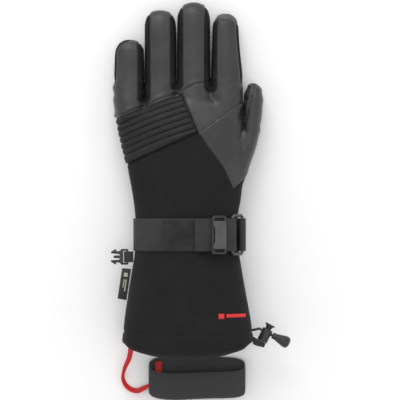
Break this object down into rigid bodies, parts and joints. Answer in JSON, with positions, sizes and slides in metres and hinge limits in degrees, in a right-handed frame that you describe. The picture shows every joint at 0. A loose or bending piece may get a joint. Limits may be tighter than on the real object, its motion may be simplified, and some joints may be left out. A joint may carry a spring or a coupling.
{
  "type": "ski glove",
  "caption": "Left-hand ski glove with a long flared gauntlet, ribbed knuckle pad, buckled wrist strap, cord-locked hem and a wrist leash.",
  "frame": {"origin": "on the flat underside of the palm patch, in the middle of the palm", "axes": "+Y from the wrist to the fingertips, +Z out of the back of the hand, +X to the thumb's side"},
  "size_m": [0.1614, 0.3598, 0.069],
  "materials": {
    "leather": "fine-grained soft black goat leather",
    "softshell": "matte black stretch softshell",
    "ribbed_pad": "black stretch fabric quilted in ribs over foam",
    "touch_leather": "grey conductive leather",
    "fleece": "brushed black fleece",
    "wadding": "white synthetic wadding",
    "membrane": "thin laminated film",
    "webbing": "woven dark grey webbing",
    "hook_and_loop": "black hook-and-loop tape",
    "moulded_plastic": "satin dark grey moulded plastic",
    "label_satin": "black satin label with a plain pale figure",
    "elastic_cord": "braided black elastic cord",
    "spring_steel": "bright wire",
    "red_webbing": "woven red tape"
  },
  "bodies": {
    "hand": {"finger_back_panel": "leather", "index_back_panel": "leather", "palm_leather": "leather", "palm_patch": "leather", "little_shell_base": "leather", "ring_shell_base": "leather", "middle_shell_base": "leather", "index_shell_base": "leather", "thumb_shell_base": "leather", "hand_back_softshell": "softshell", "gauntlet_back": "softshell", "gauntlet_palm": "softshell", "hem_binding": "softshell", "knuckle_pad": "ribbed_pad", "hand_lining": "fleece", "gauntlet_lining": "fleece", "little_lining_base": "fleece", "ring_lining_base": "fleece", "middle_lining_base": "fleece", "index_lining_base": "fleece", "thumb_lining_base": "fleece", "hand_insulation": "wadding", "hand_membrane": "membrane", "wrist_strap": "webbing", "ring_tab": "webbing", "clip_tab": "webbing", "lock_tab": "webbing", "leash_band": "webbing", "loop_patch": "hook_and_loop", "cord_lock_body": "moulded_plastic", "cord_pull": "moulded_plastic", "drawcord": "elastic_cord", "cord_lock_spring": "spring_steel", "leash_tape": "red_webbing", "leash_patch": "red_webbing"},
    "strap_ring": {"strap_ring": "moulded_plastic"},
    "strap_tail": {"strap_tail": "webbing", "hook_patch": "hook_and_loop", "buckle_frame": "moulded_plastic"},
    "buckle_lever": {"buckle_lever": "moulded_plastic"},
    "glove_clip": {"glove_clip": "moulded_plastic"},
    "side_label": {"side_label": "label_satin"},
    "cord_lock_button": {"cord_lock_button": "moulded_plastic"},
    "little_finger": {"little_shell_tip": "leather", "little_lining_tip": "fleece"},
    "ring_finger": {"ring_shell_tip": "leather", "ring_lining_tip": "fleece"},
    "middle_finger": {"middle_shell_tip": "leather", "middle_lining_tip": "fleece"},
    "index_finger": {"index_shell_tip": "leather", "index_lining_tip": "fleece", "index_touch_cap": "touch_leather"},
    "thumb": {"thumb_shell_tip": "leather", "thumb_lining_tip": "fleece"}
  },
  "joints": [
    {"name": "little_curl", "type": "hinge", "parent": "hand", "child": "little_finger", "pos_m": [-0.0524, 0.06202, 0.0115], "axis": [-1, 0, 0], "range_deg": [0, 65], "stiffness_Nm_per_rad": 0.25},
    {"name": "ring_curl", "type": "hinge", "parent": "hand", "child": "ring_finger", "pos_m": [-0.024, 0.075, 0.0115], "axis": [-1, 0, 0], "range_deg": [0, 65], "stiffness_Nm_per_rad": 0.25},
    {"name": "middle_curl", "type": "hinge", "parent": "hand", "child": "middle_finger", "pos_m": [0.00595, 0.078, 0.0115], "axis": [-1, 0, 0], "range_deg": [0, 65], "stiffness_Nm_per_rad": 0.25},
    {"name": "index_curl", "type": "hinge", "parent": "hand", "child": "index_finger", "pos_m": [0.0369, 0.075, 0.0115], "axis": [-1, 0, 0], "range_deg": [0, 65], "stiffness_Nm_per_rad": 0.25},
    {"name": "thumb_swing", "type": "hinge", "parent": "hand", "child": "thumb", "pos_m": [0.0549, 0.009, 0.0149], "axis": [0, 0, -1], "range_deg": [0, 35], "stiffness_Nm_per_rad": 0.25},
    {"name": "ring_tilt", "type": "hinge", "parent": "hand", "child": "strap_ring", "pos_m": [0.04943, -0.076, 0.03746], "axis": [0, 1, 0], "range_deg": [0, 40]},
    {"name": "tail_peel", "type": "hinge", "parent": "strap_ring", "child": "strap_tail", "pos_m": [0.041, -0.076, 0.04453], "axis": [0, 1, 0], "range_deg": [0, 90]},
    {"name": "lever_open", "type": "hinge", "parent": "strap_tail", "child": "buckle_lever", "pos_m": [0.03415, -0.076, 0.05479], "axis": [0, 1, 0], "range_deg": [0, 60]},
    {"name": "clip_swing", "type": "hinge", "parent": "hand", "child": "glove_clip", "pos_m": [-0.05352, -0.0961, 0.02613], "axis": [0, 1, 0], "range_deg": [-25, 25], "stiffness_Nm_per_rad": 0.006},
    {"name": "label_flap", "type": "hinge", "parent": "hand", "child": "side_label", "pos_m": [-0.05028, -0.107, 0.02747], "axis": [-0.1369, -0.9906, 0], "range_deg": [-50, 50], "stiffness_Nm_per_rad": 0.002},
    {"name": "lock_press", "type": "slide", "parent": "hand", "child": "cord_lock_button", "axis": [-0.454, -0.891, 0], "range_m": [0, 0.003], "stiffness_N_per_m": 400, "deforming": ["cord_lock_spring"]}
  ]
}
